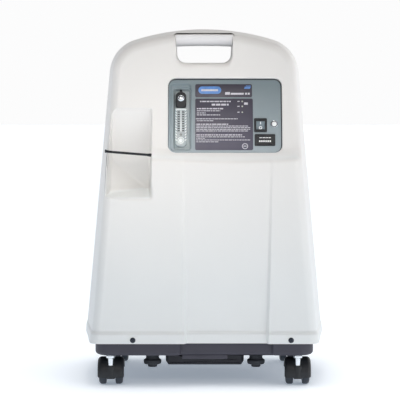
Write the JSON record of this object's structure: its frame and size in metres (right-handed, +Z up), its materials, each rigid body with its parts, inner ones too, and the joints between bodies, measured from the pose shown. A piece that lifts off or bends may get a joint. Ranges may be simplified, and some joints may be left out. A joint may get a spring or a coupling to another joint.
{
  "type": "oxygen concentrator",
  "caption": "Home oxygen concentrator: tapered two-shell cabinet with a carry handle, front control panel, flowmeter and bottle pocket, on swivel casters.",
  "frame": {"origin": "on the floor, below the middle of the machine", "axes": "+Z up, -Y towards the front with the control panel, +X to the right of someone facing the front"},
  "size_m": [0.462, 0.3656, 0.67],
  "materials": {
    "cabinet_plastic": "fine moulded texture",
    "panel_plastic": "satin",
    "label_film": "satin film",
    "clear_acrylic": "polished",
    "black_plastic": "moulded",
    "base_plastic": "moulded",
    "duct_plastic": "moulded",
    "rubber": "matt",
    "wheel_tread": "moulded nylon",
    "grey_plastic": "satin",
    "chrome": "polished",
    "steel": "zinc plated",
    "screw_black": "black oxide",
    "aluminium": "cast",
    "copper": "drawn tube",
    "foam": "open-cell foam",
    "webbing": "woven",
    "indicator": "clear",
    "circuit": "lacquered"
  },
  "bodies": {
    "root": {"front_cabinet": "cabinet_plastic", "rear_cabinet": "cabinet_plastic", "handle_grip": "cabinet_plastic", "control_panel": "panel_plastic", "label_header": "label_film", "label_instructions": "label_film", "indicator_light_pipe": "indicator", "flowmeter_block": "clear_acrylic", "flow_valve_body": "black_plastic", "oxygen_outlet_barb": "black_plastic", "switch_bezel": "black_plastic", "breaker_collar": "chrome", "hour_meter": "black_plastic", "bottle_strap": "webbing", "base_tray": "base_plastic", "exhaust_duct": "duct_plastic", "power_cord_gland": "black_plastic", "compressor_motor": "aluminium", "compressor_head_left": "aluminium", "compressor_head_right": "aluminium", "cooling_fan_shroud": "black_plastic", "sieve_bed_left": "aluminium", "sieve_bed_right": "aluminium", "product_tank": "aluminium", "valve_manifold": "aluminium", "heat_exchanger_coil": "copper", "circuit_board": "circuit", "intake_silencer": "black_plastic", "cabinet_screw_front_left": "screw_black", "isolator_front_left": "rubber", "caster_stem_front_left": "chrome", "cabinet_screw_front_right": "screw_black", "isolator_front_right": "rubber", "caster_stem_front_right": "chrome", "cabinet_screw_rear_left": "screw_black", "isolator_rear_left": "rubber", "caster_stem_rear_left": "chrome", "cabinet_screw_rear_right": "screw_black", "isolator_rear_right": "rubber", "caster_stem_rear_right": "chrome"},
    "flow_knob": {"flow_knob": "chrome"},
    "float_ball": {"float_ball": "black_plastic"},
    "switch_rocker": {"switch_rocker": "grey_plastic"},
    "breaker_button": {"breaker_button": "cabinet_plastic"},
    "filter_frame": {"filter_frame": "black_plastic", "filter_foam": "foam"},
    "cooling_fan_rotor": {"cooling_fan_rotor": "black_plastic"},
    "compressor_shaft": {"compressor_shaft": "steel"},
    "caster_hood_front_left": {"caster_hood_front_left": "black_plastic"},
    "caster_wheels_front_left": {"caster_wheels_front_left": "wheel_tread"},
    "caster_hood_front_right": {"caster_hood_front_right": "black_plastic"},
    "caster_wheels_front_right": {"caster_wheels_front_right": "wheel_tread"},
    "caster_hood_rear_left": {"caster_hood_rear_left": "black_plastic"},
    "caster_wheels_rear_left": {"caster_wheels_rear_left": "wheel_tread"},
    "caster_hood_rear_right": {"caster_hood_rear_right": "black_plastic"},
    "caster_wheels_rear_right": {"caster_wheels_rear_right": "wheel_tread"}
  },
  "joints": [
    {"name": "flow_knob_turn", "type": "hinge", "parent": "root", "child": "flow_knob", "pos_m": [-0.0438, -0.10821, 0.5385], "axis": [0, 0.9563, -0.2924], "range_deg": [0, 1800]},
    {"name": "float_rise", "type": "slide", "parent": "root", "child": "float_ball", "axis": [0, 0.2924, 0.9563], "range_m": [0, 0.048]},
    {"name": "switch_press", "type": "hinge", "parent": "root", "child": "switch_rocker", "pos_m": [0.1056, -0.12448, 0.48837], "axis": [-1, 0, 0], "range_deg": [0, 18]},
    {"name": "breaker_trip", "type": "slide", "parent": "root", "child": "breaker_button", "axis": [0, -0.9563, 0.2924], "range_m": [0, 0.0035]},
    {"name": "filter_pull", "type": "slide", "parent": "root", "child": "filter_frame", "axis": [0, 0.9985, 0.0548], "range_m": [0, 0.06]},
    {"name": "fan_spin", "type": "hinge", "parent": "root", "child": "cooling_fan_rotor", "pos_m": [0, -0.008, 0.236], "axis": [0, 0, 1], "continuous": true},
    {"name": "compressor_spin", "type": "hinge", "parent": "root", "child": "compressor_shaft", "pos_m": [0, 0, 0.135], "axis": [1, 0, 0], "continuous": true},
    {"name": "caster_swivel_front_left", "type": "hinge", "parent": "root", "child": "caster_hood_front_left", "pos_m": [-0.176, -0.15, 0.03], "axis": [0, 0, 1], "continuous": true},
    {"name": "caster_roll_front_left", "type": "hinge", "parent": "caster_hood_front_left", "child": "caster_wheels_front_left", "pos_m": [-0.176, -0.13, 0.024], "axis": [1, 0, 0], "continuous": true},
    {"name": "caster_swivel_front_right", "type": "hinge", "parent": "root", "child": "caster_hood_front_right", "pos_m": [0.176, -0.15, 0.03], "axis": [0, 0, 1], "continuous": true},
    {"name": "caster_roll_front_right", "type": "hinge", "parent": "caster_hood_front_right", "child": "caster_wheels_front_right", "pos_m": [0.176, -0.13, 0.024], "axis": [1, 0, 0], "continuous": true},
    {"name": "caster_swivel_rear_left", "type": "hinge", "parent": "root", "child": "caster_hood_rear_left", "pos_m": [-0.176, 0.128, 0.03], "axis": [0, 0, 1], "continuous": true},
    {"name": "caster_roll_rear_left", "type": "hinge", "parent": "caster_hood_rear_left", "child": "caster_wheels_rear_left", "pos_m": [-0.176, 0.148, 0.024], "axis": [1, 0, 0], "continuous": true},
    {"name": "caster_swivel_rear_right", "type": "hinge", "parent": "root", "child": "caster_hood_rear_right", "pos_m": [0.176, 0.128, 0.03], "axis": [0, 0, 1], "continuous": true},
    {"name": "caster_roll_rear_right", "type": "hinge", "parent": "caster_hood_rear_right", "child": "caster_wheels_rear_right", "pos_m": [0.176, 0.148, 0.024], "axis": [1, 0, 0], "continuous": true}
  ]
}
